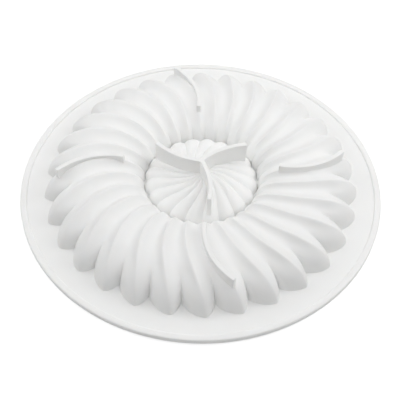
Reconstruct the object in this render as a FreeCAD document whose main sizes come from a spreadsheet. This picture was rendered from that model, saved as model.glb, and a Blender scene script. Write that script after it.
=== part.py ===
import FreeCAD, Part
import Sketcher
import math
import os
from FreeCAD import Placement, Rotation, Vector

# Silicone mousse cake mould, one moulded piece, standing on its flange with the cavity facing down.
# Frame: +Z up, the flange's underside at Z = 0, the origin at the middle of the flange.
# A ring of thirty swirled lobes lies round a low lobed dome, the cavity follows both inside the wall,
# and upright fins rise to one plane, on which the mould stands when it is turned over and filled.

doc = FreeCAD.newDocument("mousse_mould_model")

# Driving dimensions, in millimetres, degrees and counts

SIZES = [
    ("flange_diameter", 220.0, "over the bead"),
    ("flange_thickness", 2.0, "flat of the flange"),
    ("bead_width", 3.8, "raised bead along the flange's edge"),
    ("bead_height", 3.2, "top of the bead above the underside"),
    ("bead_bevel", 0.8, "bevels along the bead's top"),
    ("wall", 2.2, "wall of the ring and the dome"),
    ("ring_lobes", 30, "lobes round the ring"),
    ("ring_middle", 66.0, "radius at which the ring is highest"),
    ("ridge_height", 20.8, "top of the ring's ridges"),
    ("ridge_out", 29.7, "ridges' outer base, out from the ring's middle"),
    ("ridge_in", 31.4, "ridges' inner base, in from the ring's middle"),
    ("valley_height", 18.0, "top of the ring's valleys"),
    ("valley_out", 20.9, "valleys' outer base, out from the ring's middle"),
    ("valley_in", 30.4, "valleys' inner base, in from the ring's middle"),
    ("squareness_out", 2.0, "exponent of the ring's outer profile, 2 for an ellipse"),
    ("squareness_in", 3.0, "exponent of its inner profile, which falls steeply at its end"),
    ("ridge_turn_out", 8.4, "angle of a ridge at its outer base"),
    ("ridge_turn_top", 0.3, "angle of a ridge at the ring's middle"),
    ("ridge_turn_in", -4.5, "angle of a ridge at its inner base"),
    ("valley_turn_out", -0.2, "angle of a valley at its outer base"),
    ("valley_turn_top", -5.0, "angle of a valley at the ring's middle"),
    ("valley_turn_in", -8.6, "angle of a valley at its inner base"),
    ("bend_place_top", 0.62, "where a flank bends, as a share of its width from valley to ridge, at the top"),
    ("bend_rise_top", 0.42, "its rise there, as a share of the ridge's: the flank is hollow and the ridge slim"),
    ("bend_place_wall", 0.38, "where a flank bends on the ring's walls"),
    ("bend_rise_wall", 0.68, "its rise there: the lobe is round and the valley a cleft"),
    ("dome_lobes", 20, "lobes round the dome"),
    ("dome_height", 11.8, "top of the dome's ridges"),
    ("dome_radius", 35.0, "base of the dome's ridges"),
    ("dome_groove", 1.8, "depth of the dome's valleys"),
    ("dome_squareness", 3.0, "exponent of the dome's profile, 2 for an ellipse"),
    ("dome_turn_out", -7.0, "angle of a ridge at its base"),
    ("dome_turn_top", 27.0, "angle of a ridge at the crown"),
    ("crown_radius", 4.0, "small flat at the dome's centre, under the fins"),
    ("foot_height", 22.5, "plane of the fins' tops, the mould's feet when it is filled"),
    ("fin_thickness", 2.7, "all fins"),
    ("outer_fin_start", 46.4, "radius of an outer fin's inner end"),
    ("outer_fin_end", 85.9, "radius of an outer fin's outer end"),
    ("outer_fin_sweep", 9.7, "angle from its inner to its outer end"),
    ("outer_fin_bend", 42.0, "radius of its curve"),
    ("outer_fin_angle", -3.1, "angle of the first outer fin's inner end"),
    ("outer_fin_root", 9.0, "height at which the outer fins start, inside the ring"),
    ("centre_fin_reach", 30.7, "from the axis to a central fin's end"),
    ("centre_fin_bend", 45.0, "radius of its curve"),
    ("centre_fin_angle", 27.0, "angle of the first central fin's end"),
    ("centre_fin_root", 2.0, "height at which the central fins start, inside the dome"),
    ("hub_radius", 1.7, "round post where the central fins meet"),
]

sizes = doc.addObject("Spreadsheet::Sheet", "sizes")
for row, (alias, value, note) in enumerate(SIZES, start=1):
    sizes.set(f"A{row}", alias)
    sizes.set(f"B{row}", str(value))
    sizes.set(f"C{row}", note)
    sizes.setAlias(f"B{row}", alias)
doc.recompute()

# Numbers of the method: how finely the lobes are faceted, how far cuts overrun, how seams are sewn
RING_STATIONS = 12
CAVITY_STATIONS = 10
DOME_STATIONS = 6
OVERCUT = 2.0
SEAM = 0.01

# How soon ridges and valleys turn on the way from the ring's top to its base: 1 is evenly, more is sooner
RIDGE_EASE = {"out": 1.3, "in": 2.0}
VALLEY_EASE = {"out": 1.5, "in": 2.0}

# Where the slim ridges of the top turn to the round lobes of the walls, as shares of the way down
ROUNDING = {"out": (0.40, 0.88), "in": (0.80, 0.97)}

# Lobes from the first fin of each kind to the others: the gaps aren't all alike
OUTER_FIN_LOBES = (0, 8, 15, 23)
CENTRE_FIN_LOBES = (0, 7, 14)

CELLS = {alias: f"sizes.{alias}" for alias, _, _ in SIZES}
CELLS["rim"] = "sizes.flange_diameter / 2"
UP = Vector(0, 0, 1)


def size(alias):
    """The value of a named cell."""
    return float(getattr(sizes, alias))


def at(radius, degrees, height):
    """A point from its radius, its angle and its height."""
    angle = math.radians(degrees)
    return Vector(radius * math.cos(angle), radius * math.sin(angle), height)


def eased(start, end, share, ease):
    """From start to end, quick at first and slow near the end where ease is over 1."""
    return start + (end - start) * (1 - (1 - share) ** ease)


def smooth_step(value, start, end):
    """0 before start, 1 after end, and a smooth rise between."""
    share = min(1.0, max(0.0, (value - start) / (end - start)))
    return share * share * (3 - 2 * share)


def constrain(sketch, kind, *geometry, expression=None):
    """Adds a constraint, bound to the sheet where an expression is given."""
    index = sketch.addConstraint(Sketcher.Constraint(kind, *geometry))
    if expression:
        sketch.setExpression(f"Constraints[{index}]", expression.format(**CELLS))


# The flange and its bead, turned round the axis


def flange_corners():
    """Corners of the flange's section, each as its place and the place's expressions."""
    rim = size("flange_diameter") / 2
    bead, bevel, width = size("bead_height"), size("bead_bevel"), size("bead_width")
    flat = size("flange_thickness")
    return [
        ((rim, 0.0), ("{rim}", None)),
        ((rim, bead - bevel), ("{rim}", "{bead_height} - {bead_bevel}")),
        ((rim - bevel, bead), ("{rim} - {bead_bevel}", "{bead_height}")),
        ((rim - width + bevel, bead), ("{rim} - {bead_width} + {bead_bevel}", "{bead_height}")),
        ((rim - width, bead - bevel), ("{rim} - {bead_width}", "{bead_height} - {bead_bevel}")),
        ((rim - width, flat), ("{rim} - {bead_width}", "{flange_thickness}")),
        ((0.0, flat), (None, "{flange_thickness}")),
    ]


flange = doc.addObject("PartDesign::Body", "flange")
flange_section = flange.newObject("Sketcher::SketchObject", "flange_section")
upright_plane = next(plane for plane in flange.Origin.OriginFeatures if plane.Role == "XZ_Plane")
flange_section.AttachmentSupport = [(upright_plane, "")]
flange_section.MapMode = "FlatFace"

corners = flange_corners()
outline = [Vector(0, 0, 0)] + [Vector(x, y, 0) for (x, y), _ in corners]
for start, end in zip(outline, outline[1:] + outline[:1]):
    flange_section.addGeometry(Part.LineSegment(start, end), False)
for number in range(len(outline)):
    constrain(flange_section, "Coincident", number, 2, (number + 1) % len(outline), 1)
constrain(flange_section, "Coincident", 0, 1, -1, 1)
for number, ((x, y), (x_text, y_text)) in enumerate(corners, start=1):
    for kind, value, text, axis in (("DistanceX", x, x_text, -2), ("DistanceY", y, y_text, -1)):
        if text:
            constrain(flange_section, kind, -1, 1, number, 1, value, expression=text)
        else:
            constrain(flange_section, "PointOnObject", number, 1, axis)
flange_turned = flange.newObject("PartDesign::Revolution", "flange_turned")
flange_turned.Profile = flange_section
flange_turned.ReferenceAxis = (flange_section, ["V_Axis"])
flange_turned.Angle = 360.0
flange.Tip = flange_turned


# The lobed forms: lines run along the valleys, the flanks and the ridges, and flat facets join them


def ring_lines(pitch, wall, stations):
    """Lines along one lobe of the ring, from its outer base over the top to its inner base.

    Ridges and valleys each follow two quarters of superellipses. wall is taken off both for the cavity.
    """
    middle = size("ring_middle")
    lines = [[] for _ in range(5)]
    for station in range(stations + 1):
        angle = math.pi * station / stations
        side = "out" if 2 * station <= stations else "in"
        power = 2 / size("squareness_" + side)
        share, lift = abs(math.cos(angle)) ** power, math.sin(angle) ** power
        across = share if side == "out" else -share
        ridge_radius = middle + across * (size("ridge_" + side) - wall)
        ridge_height = lift * (size("ridge_height") - wall)
        valley_radius = middle + across * (size("valley_" + side) - wall)
        valley_height = lift * (size("valley_height") - wall)
        ridge = eased(size("ridge_turn_top"), size("ridge_turn_" + side), share, RIDGE_EASE[side])
        valley = eased(size("valley_turn_top"), size("valley_turn_" + side), share, VALLEY_EASE[side])
        next_valley = valley + pitch
        roundness = smooth_step(share, *ROUNDING[side])
        bend = size("bend_place_top") + (size("bend_place_wall") - size("bend_place_top")) * roundness
        flank = size("bend_rise_top") + (size("bend_rise_wall") - size("bend_rise_top")) * roundness
        section = [
            (valley, 0.0),
            (valley + (ridge - valley) * bend, flank),
            (ridge, 1.0),
            (next_valley + (ridge - next_valley) * bend, flank),
            (next_valley, 0.0),
        ]
        for line, (turn, rise) in zip(lines, section):
            radius = valley_radius + (ridge_radius - valley_radius) * rise
            height = valley_height + (ridge_height - valley_height) * rise
            line.append((radius, turn, height))
    return lines


def dome_lines(pitch, wall, stations):
    """Lines along one lobe of the dome, from its base to the small flat at its crown."""
    power = 2 / size("dome_squareness")
    base = size("dome_radius") - wall
    top = size("dome_height") - wall
    crown = size("crown_radius")
    last_angle = math.acos((crown / base) ** (1 / power))
    lines = [[] for _ in range(3)]
    for station in range(stations + 1):
        angle = last_angle * station / stations
        radius = base * math.cos(angle) ** power
        height = top * math.sin(angle) ** power
        share = (radius - crown) / (base - crown)
        ridge = size("dome_turn_out") + (size("dome_turn_top") - size("dome_turn_out")) * (1 - share) ** 2
        groove = size("dome_groove") * min(1.0, 2 * share)
        slope = math.atan2(math.sin(angle) / top, math.cos(angle) / base)
        groove_radius = radius - groove * math.cos(slope)
        groove_height = height - groove * math.sin(slope)
        lines[0].append((groove_radius, ridge - pitch / 2, groove_height))
        lines[1].append((radius, ridge, height))
        lines[2].append((groove_radius, ridge + pitch / 2, groove_height))
    return lines


def deepened(lines, both_ends):
    """The same lines, carried straight down below the flange's underside, so that the form cuts it."""
    longer = []
    for line in lines:
        radius, turn, _ = line[0]
        points = [(radius, turn, -OVERCUT)] + line
        if both_ends:
            radius, turn, _ = line[-1]
            points.append((radius, turn, -OVERCUT))
        longer.append(points)
    return longer


def lobed_solid(lines, count, ring):
    """A solid from one lobe's lines, repeated round the axis and closed by flats.

    A ring ends in one flat with a hole, and a dome in a flat at its base and one at its crown.
    """
    grid = []
    for number in range(count):
        for line in lines[:-1]:
            grid.append([at(radius, turn + number * 360.0 / count, height) for radius, turn, height in line])
    faces = []
    for first, second in zip(grid, grid[1:] + grid[:1]):
        for one, two, three, four in zip(first, first[1:], second[1:], second):
            faces.append(Part.Face(Part.makePolygon([one, two, three, one])))
            faces.append(Part.Face(Part.makePolygon([one, three, four, one])))
    start = Part.makePolygon([line[0] for line in grid] + [grid[0][0]])
    end = Part.makePolygon([line[-1] for line in grid] + [grid[0][-1]])
    if ring:
        faces.append(Part.makeFace([start, end], "Part::FaceMakerBullseye"))
    else:
        faces += [Part.Face(start), Part.Face(end)]
    skin = Part.makeCompound(faces)
    skin.sewShape(SEAM)
    solid = Part.Solid(skin.Shells[0])
    if solid.Volume < 0:
        solid.reverse()
    return solid


def lobed_part(name, lines, count, ring):
    """A lobed form as an object of the document."""
    part = doc.addObject("Part::Feature", name)
    part.Shape = lobed_solid(lines, count, ring)
    return part


wall = size("wall")
ring_count, dome_count = int(size("ring_lobes")), int(size("dome_lobes"))
ring_pitch, dome_pitch = 360.0 / ring_count, 360.0 / dome_count

ring_outside = lobed_part(
    "ring_outside", ring_lines(ring_pitch, 0.0, RING_STATIONS), ring_count, True)
dome_outside = lobed_part(
    "dome_outside", dome_lines(dome_pitch, 0.0, DOME_STATIONS), dome_count, False)
ring_cavity = lobed_part(
    "ring_cavity", deepened(ring_lines(ring_pitch, wall, CAVITY_STATIONS), True), ring_count, True)
dome_cavity = lobed_part(
    "dome_cavity", deepened(dome_lines(dome_pitch, wall, DOME_STATIONS), False), dome_count, False)


# The fins: curved upright ribs whose tops lie in one plane


def fin(name, start, end, bend, root, turn):
    """A rib along an arc, which runs anticlockwise from start to end in the fin's own plan.

    start and end are each two pairs of a value and its expression, and turn places the fin.
    """
    plan = doc.addObject("Sketcher::SketchObject", name + "_plan")
    first, last = (Vector(x[0], y[0], 0) for x, y in (start, end))
    chord = last - first
    left = Vector(-chord.y, chord.x, 0).normalize()
    centre = (first + last) / 2 + left * math.sqrt(size(bend) ** 2 - (chord.Length / 2) ** 2)
    angles = [math.atan2(point.y - centre.y, point.x - centre.x) for point in (first, last)]
    half = size("fin_thickness") / 2
    for offset, is_guide in ((0.0, True), (-half, False), (half, False)):
        plan.addGeometry(Part.ArcOfCircle(Part.Circle(centre, UP, size(bend) + offset), *angles), is_guide)
    for angle in angles:
        outward = Vector(math.cos(angle), math.sin(angle), 0)
        ends = [centre + outward * (size(bend) + offset) for offset in (-half, half)]
        plan.addGeometry(Part.LineSegment(*ends), False)
    guide, inner, outer, start_line, end_line = range(5)
    for arc in (inner, outer):
        constrain(plan, "Coincident", guide, 3, arc, 3)
    for line, which in ((start_line, 1), (end_line, 2)):
        constrain(plan, "Coincident", line, 1, inner, which)
        constrain(plan, "Coincident", line, 2, outer, which)
        constrain(plan, "PointOnObject", guide, which, line)
        constrain(plan, "PointOnObject", guide, 3, line)
    radius = "{" + bend + "}"
    constrain(plan, "Radius", guide, size(bend), expression=radius)
    constrain(plan, "Radius", inner, size(bend) - half, expression=radius + " - {fin_thickness} / 2")
    constrain(plan, "Radius", outer, size(bend) + half, expression=radius + " + {fin_thickness} / 2")
    for which, point in ((1, start), (2, end)):
        for kind, (value, text) in zip(("DistanceX", "DistanceY"), point):
            constrain(plan, kind, -1, 1, guide, which, value, expression=text)
    plan.Placement = Placement(Vector(0, 0, size(root)), Rotation(UP, 0))
    plan.setExpression("Placement.Base.z", CELLS[root])
    plan.setExpression("Placement.Rotation.Angle", turn.format(**CELLS))
    rib = doc.addObject("Part::Extrusion", name)
    rib.Base = plan
    rib.DirMode = "Custom"
    rib.Dir = UP
    rib.Solid = True
    rib.setExpression("LengthFwd", f"{CELLS['foot_height']} - {CELLS[root]}")
    return rib


sweep = math.radians(size("outer_fin_sweep"))
outer_start = ((size("outer_fin_start"), "{outer_fin_start}"), (0.0, "0"))
outer_end = (
    (size("outer_fin_end") * math.cos(sweep), "{outer_fin_end} * cos({outer_fin_sweep} * 1deg)"),
    (size("outer_fin_end") * math.sin(sweep), "{outer_fin_end} * sin({outer_fin_sweep} * 1deg)"),
)
fins = []
for number, lobes in enumerate(OUTER_FIN_LOBES, start=1):
    turn = f"{{outer_fin_angle}} + {lobes} * 360 / {{ring_lobes}}"
    fins.append(fin(f"outer_fin_{number}", outer_start, outer_end, "outer_fin_bend", "outer_fin_root", turn))

centre_start = ((size("centre_fin_reach"), "{centre_fin_reach}"), (0.0, "0"))
centre_end = ((0.0, "0"), (0.0, "0"))
for number, lobes in enumerate(CENTRE_FIN_LOBES, start=1):
    turn = f"{{centre_fin_angle}} + {lobes} * 360 / {{dome_lobes}}"
    fins.append(fin(f"centre_fin_{number}", centre_start, centre_end, "centre_fin_bend", "centre_fin_root", turn))

hub = doc.addObject("Part::Cylinder", "hub")
hub.setExpression("Radius", CELLS["hub_radius"])
hub.setExpression("Height", f"{CELLS['foot_height']} - {CELLS['centre_fin_root']}")
hub.setExpression("Placement.Base.z", CELLS["centre_fin_root"])


# The mould: everything outside in one piece, less the two hollows

outside = doc.addObject("Part::MultiFuse", "outside")
outside.Shapes = [flange, ring_outside, dome_outside, hub] + fins
hollows = doc.addObject("Part::Compound", "hollows")
hollows.Links = [ring_cavity, dome_cavity]
mould = doc.addObject("Part::Cut", "mousse_mould")
mould.Label = "mousse_mould"
mould.Base = outside
mould.Tool = hollows
doc.recompute()

for item in doc.Objects:
    if any(word in item.State for word in ("Invalid", "Error")):
        raise RuntimeError(f"{item.Name} failed: {item.State}")
if mould.Shape.isNull() or not mould.Shape.isValid() or len(mould.Shape.Solids) != 1:
    raise RuntimeError("the mould isn't one valid solid")

os.makedirs("parts", exist_ok=True)
mould.Shape.Solids[0].exportStep(f"parts/{mould.Label}.step")
box = mould.Shape.BoundBox
print(f"{mould.Label}: {box.XLength:.1f} x {box.YLength:.1f} x {box.ZLength:.1f} mm,",
      f"{mould.Shape.Volume / 1000:.1f} cm3, {len(mould.Shape.Faces)} faces")
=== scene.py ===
import bpy
import math
from mathutils import Matrix, Vector


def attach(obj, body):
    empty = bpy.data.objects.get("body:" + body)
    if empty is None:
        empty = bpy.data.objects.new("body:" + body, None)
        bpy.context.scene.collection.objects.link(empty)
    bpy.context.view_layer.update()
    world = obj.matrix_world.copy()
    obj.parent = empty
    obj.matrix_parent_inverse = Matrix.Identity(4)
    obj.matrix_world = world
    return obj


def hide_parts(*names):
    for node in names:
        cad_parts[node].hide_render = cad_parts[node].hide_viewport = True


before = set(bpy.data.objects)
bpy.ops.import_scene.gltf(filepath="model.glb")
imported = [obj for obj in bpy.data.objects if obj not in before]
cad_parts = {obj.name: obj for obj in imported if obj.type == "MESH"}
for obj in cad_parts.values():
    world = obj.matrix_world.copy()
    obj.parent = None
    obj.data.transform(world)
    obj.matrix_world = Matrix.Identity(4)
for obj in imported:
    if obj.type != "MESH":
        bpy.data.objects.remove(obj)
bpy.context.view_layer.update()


# The lobed ring's outer side.
# Silicone moulded against a tool cut with thirty swirled flutes. On top each lobe has a sharp crest
# between smooth hollows, and down the walls the lobes turn round, with deep clefts between them.

# A ridge's and a valley's height, their reach from the ring's middle outwards and inwards, and their
# turn in degrees at the outer base, on top and at the inner base, with how soon the turn sets in.
RIDGE = {"height": 0.0208, "out": 0.0297, "in": 0.0314, "turns": (8.4, 0.3, -4.5), "eases": (1.3, 2.0)}
VALLEY = {"height": 0.0180, "out": 0.0209, "in": 0.0304, "turns": (-0.2, -5.0, -8.6), "eases": (1.5, 2.0)}
RING_MIDDLE = 0.066
RING_LOBES = 30
RING_GRID = (22, 56)
# For the outer and the inner half: how full the section is, where 2 is an ellipse, and between which
# shares of the way from the top to the base the flutes turn into lobes.
RING_SQUARENESS = (2.0, 2.4)
ROUNDING = ((0.40, 0.88), (0.80, 0.97))
# How hollow a flute is, how round its crest, a lobe's two powers, and how the columns bunch at a crest.
FLUTE_POWER = 2.0
CREST_ROUND = 0.12
LOBE_POWERS = (1.7, 0.75)
CREST_BUNCHING = 1.4
MERGE_DISTANCE = 1e-6


def deselect_all():
    """Nothing is selected afterwards, so that the next operator acts on its own piece only."""
    if bpy.context.object and bpy.context.object.mode != "OBJECT":
        bpy.ops.object.mode_set(mode="OBJECT")
    bpy.ops.object.select_all(action="DESELECT")


def around(radius, degrees, height):
    """A point from its radius, its angle and its height."""
    angle = math.radians(degrees)
    return Vector((radius * math.cos(angle), radius * math.sin(angle), height))


def smooth_step(value, start, end):
    """0 before start, 1 after end, and a smooth rise between."""
    share = min(1.0, max(0.0, (value - start) / (end - start)))
    return share * share * (3 - 2 * share)


def ring_side(angle):
    """0 on the ring's outer half, 1 on its inner half."""
    return 0 if angle <= math.pi / 2 else 1


def ring_line(line, angle, wall):
    """Radius, turn and height of the ring's ridge or valley: angle goes from 0 outside to pi inside."""
    side = ring_side(angle)
    reach = line[("out", "in")[side]] - wall
    power = 2 / RING_SQUARENESS[side]
    share, lift = abs(math.cos(angle)) ** power, math.sin(angle) ** power
    turns = line["turns"]
    turn = turns[1] + (turns[2 * side] - turns[1]) * (1 - (1 - share) ** line["eases"][side])
    return RING_MIDDLE + reach * share * (1, -1)[side], turn, (line["height"] - wall) * lift


def flank_rise(share, roundness):
    """Height of a flank from valley to crest: 0 gives a hollow flute, 1 a round lobe with deep clefts."""
    full = math.hypot(1, CREST_ROUND) - CREST_ROUND
    away = (math.hypot(1 - share, CREST_ROUND) - CREST_ROUND) / full
    flute = (1 - away) ** FLUTE_POWER
    lobe = (1 - (1 - share) ** LOBE_POWERS[0]) ** LOBE_POWERS[1]
    return flute + (lobe - flute) * roundness


def ring_point(across, along, wall):
    """A point of one lobe's skin: across runs valley to valley, along from the outer to the inner base."""
    angle = math.pi * along
    side = ring_side(angle)
    ridge = ring_line(RIDGE, angle, wall)
    valley = ring_line(VALLEY, angle, wall)
    roundness = smooth_step(abs(math.cos(angle)) ** (2 / RING_SQUARENESS[side]), *ROUNDING[side])
    share = 1 - abs(2 * across - 1) ** CREST_BUNCHING
    start_turn = valley[1] if across <= 0.5 else valley[1] + 360 / RING_LOBES
    turn = start_turn + (ridge[1] - start_turn) * share
    rise = flank_rise(share, roundness)
    radius = valley[0] + (ridge[0] - valley[0]) * rise
    height = valley[2] + (ridge[2] - valley[2]) * rise
    return around(radius, turn, height)


def lobed_skin(name, point, grid, count, wall):
    """A grid shaped into one lobe, then repeated round the axis and merged."""
    deselect_all()
    bpy.ops.mesh.primitive_grid_add(x_subdivisions=grid[0], y_subdivisions=grid[1], size=1)
    skin = bpy.context.object
    skin.name = name
    for vertex in skin.data.vertices:
        vertex.co = point(vertex.co.x + 0.5, vertex.co.y + 0.5, wall)
    bpy.ops.object.mode_set(mode="EDIT")
    bpy.ops.mesh.select_all(action="SELECT")
    bpy.ops.mesh.spin(steps=count - 1, dupli=True, angle=2 * math.pi * (count - 1) / count,
                      center=(0, 0, 0), axis=(0, 0, 1))
    bpy.ops.mesh.select_all(action="SELECT")
    bpy.ops.mesh.remove_doubles(threshold=MERGE_DISTANCE)
    return skin


def close_skin(ring, drop=0):
    """Carries the open ends down by drop, closes them with flats and turns every face outwards."""
    bpy.ops.mesh.select_mode(type="EDGE")
    bpy.ops.mesh.select_all(action="DESELECT")
    bpy.ops.mesh.select_non_manifold(extend=False, use_wire=False, use_boundary=True,
                                     use_multi_face=False, use_non_contiguous=False, use_verts=False)
    if drop:
        bpy.ops.mesh.extrude_edges_move(TRANSFORM_OT_translate={"value": (0, 0, -drop)})
    if ring:
        bpy.ops.mesh.bridge_edge_loops()
    else:
        bpy.ops.mesh.fill_holes(sides=0)
    bpy.ops.mesh.select_all(action="SELECT")
    bpy.ops.mesh.normals_make_consistent(inside=False)
    bpy.ops.object.mode_set(mode="OBJECT")


ring_outside = lobed_skin("ring_outside", ring_point, RING_GRID, RING_LOBES, 0)
close_skin(ring=True)


# The lobed dome's outer side.
# A low cushion in the ring's middle, with twenty lobes that swirl in to its crown and fade out there.

DOME_LOBES = 20
DOME_GRID = (12, 28)
DOME_RADIUS = 0.0350
DOME_HEIGHT = 0.0118
DOME_SQUARENESS = 3.0
# A groove's depth, which is full from 1 / GROOVE_FADE of the radius outwards and fades to the crown.
DOME_GROOVE = 0.0018
GROOVE_FADE = 1.6
# A ridge's turn in degrees at the base and at the radius SWIRL_END, near the crown.
DOME_TURNS = (-7.0, 27.0)
SWIRL_END = 0.004


def dome_point(across, along, wall):
    """A point of one lobe's skin: across runs valley to valley, along from the base to the crown."""
    power = 2 / DOME_SQUARENESS
    base, top = DOME_RADIUS - wall, DOME_HEIGHT - wall
    angle = math.pi / 2 * along
    radius = base * max(0.0, math.cos(angle)) ** power
    height = top * math.sin(angle) ** power
    share = (radius - SWIRL_END) / (base - SWIRL_END)
    ridge = DOME_TURNS[0] + (DOME_TURNS[1] - DOME_TURNS[0]) * (1 - share) ** 2
    groove = DOME_GROOVE * min(1.0, GROOVE_FADE * radius / base) * (2 * across - 1) ** 2
    slope = math.atan2(math.sin(angle) / top, math.cos(angle) / base)
    turn = ridge + (across - 0.5) * 360 / DOME_LOBES
    return around(radius - groove * math.cos(slope), turn, height - groove * math.sin(slope))


dome_outside = lobed_skin("dome_outside", dome_point, DOME_GRID, DOME_LOBES, 0)
close_skin(ring=False)


# The flange and its bead.
# A flat disc of silicone with a raised, rounded bead along its edge, which keeps it from curling.

RIM = 0.110
RIM_PARTS = 360
FLANGE_THICKNESS = 0.0020
BEAD_HEIGHT = 0.0032
BEAD_WIDTH = 0.0038
BEAD_ROUND = 0.0008
BEAD_DRAFT = 0.0002
FOOT_ROUND = 0.0004
FACING_UP = 0.9
SAME_HEIGHT = 1e-5

deselect_all()
bpy.ops.mesh.primitive_cylinder_add(vertices=RIM_PARTS, radius=RIM, depth=BEAD_HEIGHT,
                                    location=(0, 0, BEAD_HEIGHT / 2))
flange = bpy.context.object
flange.name = "flange"
bpy.ops.object.transform_apply(location=True, rotation=False, scale=False)


def select_faces(piece, test):
    """In edit mode, selects the faces whose normal passes the test."""
    bpy.ops.mesh.select_mode(type="FACE")
    bpy.ops.object.mode_set(mode="OBJECT")
    for face in piece.data.polygons:
        face.select = test(face.normal)
    bpy.ops.object.mode_set(mode="EDIT")


def select_edges(piece, test):
    """In edit mode, selects the edges whose two ends pass the test."""
    bpy.ops.mesh.select_mode(type="EDGE")
    bpy.ops.object.mode_set(mode="OBJECT")
    places = [vertex.co for vertex in piece.data.vertices]
    for item in list(piece.data.polygons) + list(piece.data.vertices):
        item.select = False
    for edge in piece.data.edges:
        edge.select = all(test(places[end]) for end in edge.vertices)
    bpy.ops.object.mode_set(mode="EDIT")


def round_selected(offset, segments):
    """Rounds the selected edges."""
    bpy.ops.mesh.bevel(offset=offset, offset_type="OFFSET", segments=segments, affect="EDGES",
                       clamp_overlap=True)


bpy.ops.object.mode_set(mode="EDIT")
select_faces(flange, lambda normal: normal.z > FACING_UP)
bpy.ops.mesh.inset(thickness=BEAD_WIDTH, depth=0)
bpy.ops.mesh.inset(thickness=BEAD_DRAFT, depth=0)
bpy.ops.transform.translate(value=(0, 0, FLANGE_THICKNESS - BEAD_HEIGHT))
select_edges(flange, lambda place: place.z > BEAD_HEIGHT - SAME_HEIGHT)
round_selected(BEAD_ROUND, segments=5)
select_edges(flange, lambda place: place.z < SAME_HEIGHT)
round_selected(FOOT_ROUND, segments=2)
bpy.ops.object.mode_set(mode="OBJECT")


# The fins.
# Curved upright ribs, moulded with the rest, whose tops are level: turned over, the mould stands on them.
# Four lie over the ring, each on a lobe, and three meet at a round hub over the dome.

FOOT_HEIGHT = 0.0225
FIN_THICKNESS = 0.0027
FIN_ROUND = 0.0004
FIN_PARTS = 24
# A fin's two ends before it is turned into its place, the radius of its bend, and the height of its root.
OUTER_FIN = {"start": Vector((0.0464, 0, 0)), "end": around(0.0859, 9.7, 0), "bend": 0.042, "root": 0.009}
OUTER_FIN_TURN = -3.1
OUTER_FIN_PLACES = (0, 8, 15, 23)
CENTRE_FIN = {"start": Vector((0.0307, 0, 0)), "end": Vector((0, 0, 0)), "bend": 0.045, "root": 0.002}
CENTRE_FIN_TURN = 27.0
CENTRE_FIN_PLACES = (0, 7, 14)
HUB_RADIUS = 0.0017
HUB_PARTS = 32


def fin(name, turn, start, end, bend, root):
    """A rib bent along an arc from start to end, anticlockwise, then turned into its place."""
    chord = end - start
    left = Vector((-chord.y, chord.x, 0)).normalized()
    centre = (start + end) / 2 + left * math.sqrt(bend ** 2 - (chord.length / 2) ** 2)
    first = math.atan2(start.y - centre.y, start.x - centre.x)
    sweep = 2 * math.asin(chord.length / 2 / bend)
    length = bend * sweep
    deselect_all()
    bpy.ops.mesh.primitive_cube_add(size=1)
    rib = bpy.context.object
    rib.name = name
    rib.scale = (length, FIN_THICKNESS, FOOT_HEIGHT - root)
    rib.location = (length / 2, 0, (FOOT_HEIGHT + root) / 2)
    bpy.ops.object.transform_apply(location=True, rotation=False, scale=True)
    bpy.ops.object.mode_set(mode="EDIT")
    bpy.ops.mesh.select_all(action="SELECT")
    round_selected(FIN_ROUND, segments=3)
    for number in range(1, FIN_PARTS):
        bpy.ops.mesh.select_all(action="SELECT")
        bpy.ops.mesh.bisect(plane_co=(length * number / FIN_PARTS, 0, 0), plane_no=(1, 0, 0))
    bpy.ops.object.mode_set(mode="OBJECT")
    placed = Matrix.Rotation(math.radians(turn), 4, "Z")
    for vertex in rib.data.vertices:
        along, aside, height = vertex.co
        angle = first + along / bend
        reach = bend + aside
        vertex.co = placed @ Vector((centre.x + reach * math.cos(angle),
                                     centre.y + reach * math.sin(angle), height))
    bpy.ops.object.mode_set(mode="EDIT")
    bpy.ops.mesh.select_all(action="SELECT")
    bpy.ops.mesh.normals_make_consistent(inside=False)
    bpy.ops.object.mode_set(mode="OBJECT")
    return rib


fins = [fin("outer_fin", OUTER_FIN_TURN + place * 360 / RING_LOBES, **OUTER_FIN)
        for place in OUTER_FIN_PLACES]
fins += [fin("centre_fin", CENTRE_FIN_TURN + place * 360 / DOME_LOBES, **CENTRE_FIN)
         for place in CENTRE_FIN_PLACES]

deselect_all()
hub_root = CENTRE_FIN["root"]
bpy.ops.mesh.primitive_cylinder_add(vertices=HUB_PARTS, radius=HUB_RADIUS,
                                    depth=FOOT_HEIGHT - hub_root,
                                    location=(0, 0, (FOOT_HEIGHT + hub_root) / 2))
hub = bpy.context.object
hub.name = "hub"
bpy.ops.object.transform_apply(location=True, rotation=False, scale=False)


# The mould in one piece.
# The two hollows, which the mousse fills, follow the outer side inside an even wall. They are carried
# on below the base by OVERCUT, so that they cut clean through it.

WALL = 0.0022
OVERCUT = 0.003
RING_HOLLOW_GRID = (16, 40)
DOME_HOLLOW_GRID = (12, 24)
SMOOTH_UNDER = math.radians(32)

ring_hollow = lobed_skin("ring_hollow", ring_point, RING_HOLLOW_GRID, RING_LOBES, WALL)
close_skin(ring=True, drop=OVERCUT)
dome_hollow = lobed_skin("dome_hollow", dome_point, DOME_HOLLOW_GRID, DOME_LOBES, WALL)
close_skin(ring=False, drop=OVERCUT)

mould = flange
mould.name = "silicone_mould"
for operation, parts in (("UNION", [ring_outside, dome_outside, hub] + fins),
                         ("DIFFERENCE", [ring_hollow, dome_hollow])):
    for part in parts:
        deselect_all()
        mould.select_set(True)
        bpy.context.view_layer.objects.active = mould
        join = mould.modifiers.new("join", "BOOLEAN")
        join.operation = operation
        join.solver = "MANIFOLD"
        join.object = part
        bpy.ops.object.modifier_apply(modifier=join.name)
        bpy.data.objects.remove(part)

bpy.ops.object.shade_smooth_by_angle(angle=SMOOTH_UNDER)


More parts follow.
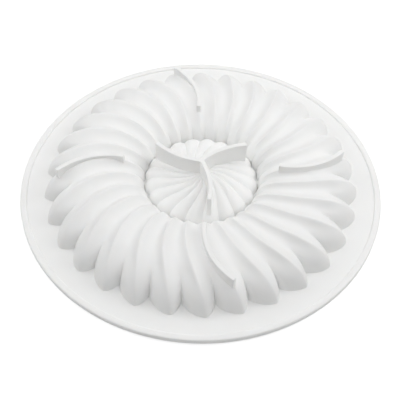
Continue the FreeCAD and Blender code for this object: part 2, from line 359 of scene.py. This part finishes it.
# Platinum-cured silicone rubber, white, moulded in a blasted tool: satin, a little translucent at thin
# edges, with a fine even grain and no gloss line. Its sheen varies a little, as handled silicone's does.

SILICONE_TINTS = ("F5F5F4", "F7F7F6")
SILICONE_ROUGHNESS = (0.36, 0.48)
SILICONE_IOR = 1.41
# The share of the light that spreads inside, and how far red, green and blue go, as shares of a distance.
SPREAD_SHARE = 0.20
SPREAD_COLOURS = (1.0, 0.9, 0.8)
SPREAD_DISTANCE = 0.0020
# Three clouds of the sheen in 50 mm. The real grain is too fine to show, so it is drawn 0.4 mm wide,
# faint, and 0.05 mm deep at full strength.
CLOUD_WIDTH = 0.050 / 3
GRAIN_WIDTH = 0.0004
GRAIN_DEPTH = 0.00005
GRAIN_STRENGTH = 0.15


def linear(text):
    """An sRGB hex colour as the linear colour that sockets take."""
    values = [int(text[place:place + 2], 16) / 255 for place in (0, 2, 4)]
    return tuple(v / 12.92 if v <= 0.04045 else ((v + 0.055) / 1.055) ** 2.4 for v in values) + (1.0,)


def add_node(tree, kind, links=(), **settings):
    """Adds a node, sets its sockets and properties by name, and links other nodes' outputs to it."""
    node = tree.nodes.new(kind)
    for name, value in settings.items():
        if name.replace("_", " ") in node.inputs:
            node.inputs[name.replace("_", " ")].default_value = value
        else:
            setattr(node, name, value)
    for source, output, target in links:
        tree.links.new(source.outputs[output], node.inputs[target])
    return node


silicone = bpy.data.materials.new("white_platinum_silicone")
silicone.use_nodes = True
tree = silicone.node_tree
shader = tree.nodes["Principled BSDF"]
shader.inputs["IOR"].default_value = SILICONE_IOR
shader.inputs["Subsurface Weight"].default_value = SPREAD_SHARE
shader.inputs["Subsurface Radius"].default_value = SPREAD_COLOURS
shader.inputs["Subsurface Scale"].default_value = SPREAD_DISTANCE
spot = add_node(tree, "ShaderNodeTexCoord")
clouds = add_node(tree, "ShaderNodeTexNoise", [(spot, "Object", "Vector")],
                  Scale=1 / CLOUD_WIDTH, Detail=3.0)
tint = add_node(tree, "ShaderNodeMix", [(clouds, "Fac", "Factor")], data_type="RGBA")
tint.inputs[6].default_value = linear(SILICONE_TINTS[0])
tint.inputs[7].default_value = linear(SILICONE_TINTS[1])
tree.links.new(tint.outputs[2], shader.inputs["Base Color"])
sheen = add_node(tree, "ShaderNodeMapRange", [(clouds, "Fac", "Value")],
                 To_Min=SILICONE_ROUGHNESS[0], To_Max=SILICONE_ROUGHNESS[1])
tree.links.new(sheen.outputs["Result"], shader.inputs["Roughness"])
grain = add_node(tree, "ShaderNodeTexNoise", [(spot, "Object", "Vector")],
                 Scale=1 / GRAIN_WIDTH, Detail=2.0)
bump = add_node(tree, "ShaderNodeBump", [(grain, "Fac", "Height")],
                Strength=GRAIN_STRENGTH, Distance=GRAIN_DEPTH)
tree.links.new(bump.outputs["Normal"], shader.inputs["Normal"])

mould.data.materials.clear()
mould.data.materials.append(silicone)
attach(mould, "root")
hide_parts("mousse_mould")


# The floor, a large sheet of plain white paper.
# It is lifted to pure white for the camera and for reflections, and the mould's shadow stays on it.

FLOOR_SIZE = 6
FLOOR_TINT = "DCDCDC"
FLOOR_ROUGHNESS = 0.9
FLOOR_LIFT = 0.50
WHITE = linear("FFFFFF")


def seen_directly(tree):
    """A node that is 1 where the camera looks, also through a mirror or a glass, and 0 for other light."""
    path = add_node(tree, "ShaderNodeLightPath")
    shown = add_node(tree, "ShaderNodeMath", [(path, "Is Camera Ray", 0), (path, "Is Transmission Ray", 1)],
                     operation="MAXIMUM")
    return add_node(tree, "ShaderNodeMath", [(shown, "Value", 0), (path, "Is Glossy Ray", 1)],
                    operation="MAXIMUM")


deselect_all()
bpy.ops.mesh.primitive_plane_add(size=FLOOR_SIZE)
floor = bpy.context.object
floor.name = "floor"
bpy.ops.object.transform_apply(location=True, rotation=True, scale=True)
paper = bpy.data.materials.new("white_paper_floor")
paper.use_nodes = True
tree = paper.node_tree
shader = tree.nodes["Principled BSDF"]
shader.inputs["Base Color"].default_value = linear(FLOOR_TINT)
shader.inputs["Roughness"].default_value = FLOOR_ROUGHNESS
shader.inputs["Emission Color"].default_value = WHITE
lift = add_node(tree, "ShaderNodeMath", [(seen_directly(tree), "Value", 0)], operation="MULTIPLY")
lift.inputs[1].default_value = FLOOR_LIFT
tree.links.new(lift.outputs[0], shader.inputs["Emission Strength"])
floor.data.materials.append(paper)


# Soft studio light.
# A large panel overhead and one on each side and behind the camera, a weaker one high at the back and
# three small ones close to the mould. The room looks white, and lights nothing but reflections.

PANELS = {
    "overhead": {"place": (0.0, 0.0, 1.1), "size": (1.2, 1.0), "watts": 4.5},
    "front": {"place": (0.0, -1.0, 0.6), "size": (1.2, 1.0), "watts": 2.8},
    "left": {"place": (-1.0, 0.0, 0.6), "size": (1.2, 1.0), "watts": 1.9},
    "right": {"place": (1.0, 0.0, 0.6), "size": (1.2, 1.0), "watts": 2.5},
    "back": {"place": (0.0, 0.6, 0.8), "size": (0.6, 0.6), "watts": 0.50},
    "near_back": {"place": (0.0, 0.35, 0.35), "size": (0.3, 0.3), "watts": 0.20},
    "near_left": {"place": (-0.35, 0.1, 0.35), "size": (0.3, 0.3), "watts": 0.54},
    "near_right": {"place": (0.35, 0.1, 0.35), "size": (0.3, 0.3), "watts": 0.66},
}
for name, panel in PANELS.items():
    lamp = bpy.data.lights.new(name + "_panel", "AREA")
    lamp.shape = "RECTANGLE"
    lamp.size, lamp.size_y = panel["size"]
    lamp.energy = panel["watts"]
    holder = bpy.data.objects.new(name + "_panel", lamp)
    holder.location = panel["place"]
    holder.rotation_euler = (-holder.location).to_track_quat("-Z", "Y").to_euler()
    bpy.context.scene.collection.objects.link(holder)

room = bpy.data.worlds.new("white_room")
bpy.context.scene.world = room
room.use_nodes = True
tree = room.node_tree
dark = tree.nodes["Background"]
dark.inputs["Strength"].default_value = 0.0
backdrop = add_node(tree, "ShaderNodeBackground", Color=WHITE, Strength=1.0)
either = add_node(tree, "ShaderNodeMixShader",
                  [(seen_directly(tree), "Value", 0), (dark, 0, 1), (backdrop, 0, 2)])
tree.links.new(either.outputs[0], tree.nodes["World Output"].inputs["Surface"])

bpy.context.scene.view_settings.view_transform = "Standard"


# The camera, at the photograph's angle: 50.7 degrees down, from about 0.45 m

CAMERA_DOWN = math.radians(50.747)
CAMERA_ROLL = math.radians(1.075)
CAMERA_AWAY = 0.44638
CAMERA_AIM = Vector((-0.00038, -0.01248, 0))
CAMERA_LENS = 65.95

forward = Vector((0, math.cos(CAMERA_DOWN), -math.sin(CAMERA_DOWN)))
right = Vector((1, 0, 0))
up = right.cross(forward)
turned_right = right * math.cos(CAMERA_ROLL) + up * math.sin(CAMERA_ROLL)
turned_up = up * math.cos(CAMERA_ROLL) - right * math.sin(CAMERA_ROLL)
lens = bpy.data.cameras.new("camera")
lens.lens = CAMERA_LENS
lens.sensor_width = 36
lens.clip_start, lens.clip_end = 0.01, 20
camera = bpy.data.objects.new("camera", lens)
camera.matrix_world = Matrix.Translation(CAMERA_AIM - forward * CAMERA_AWAY) @ Matrix(
    (turned_right, turned_up, -forward)).transposed().to_4x4()
bpy.context.scene.collection.objects.link(camera)
bpy.context.scene.camera = camera
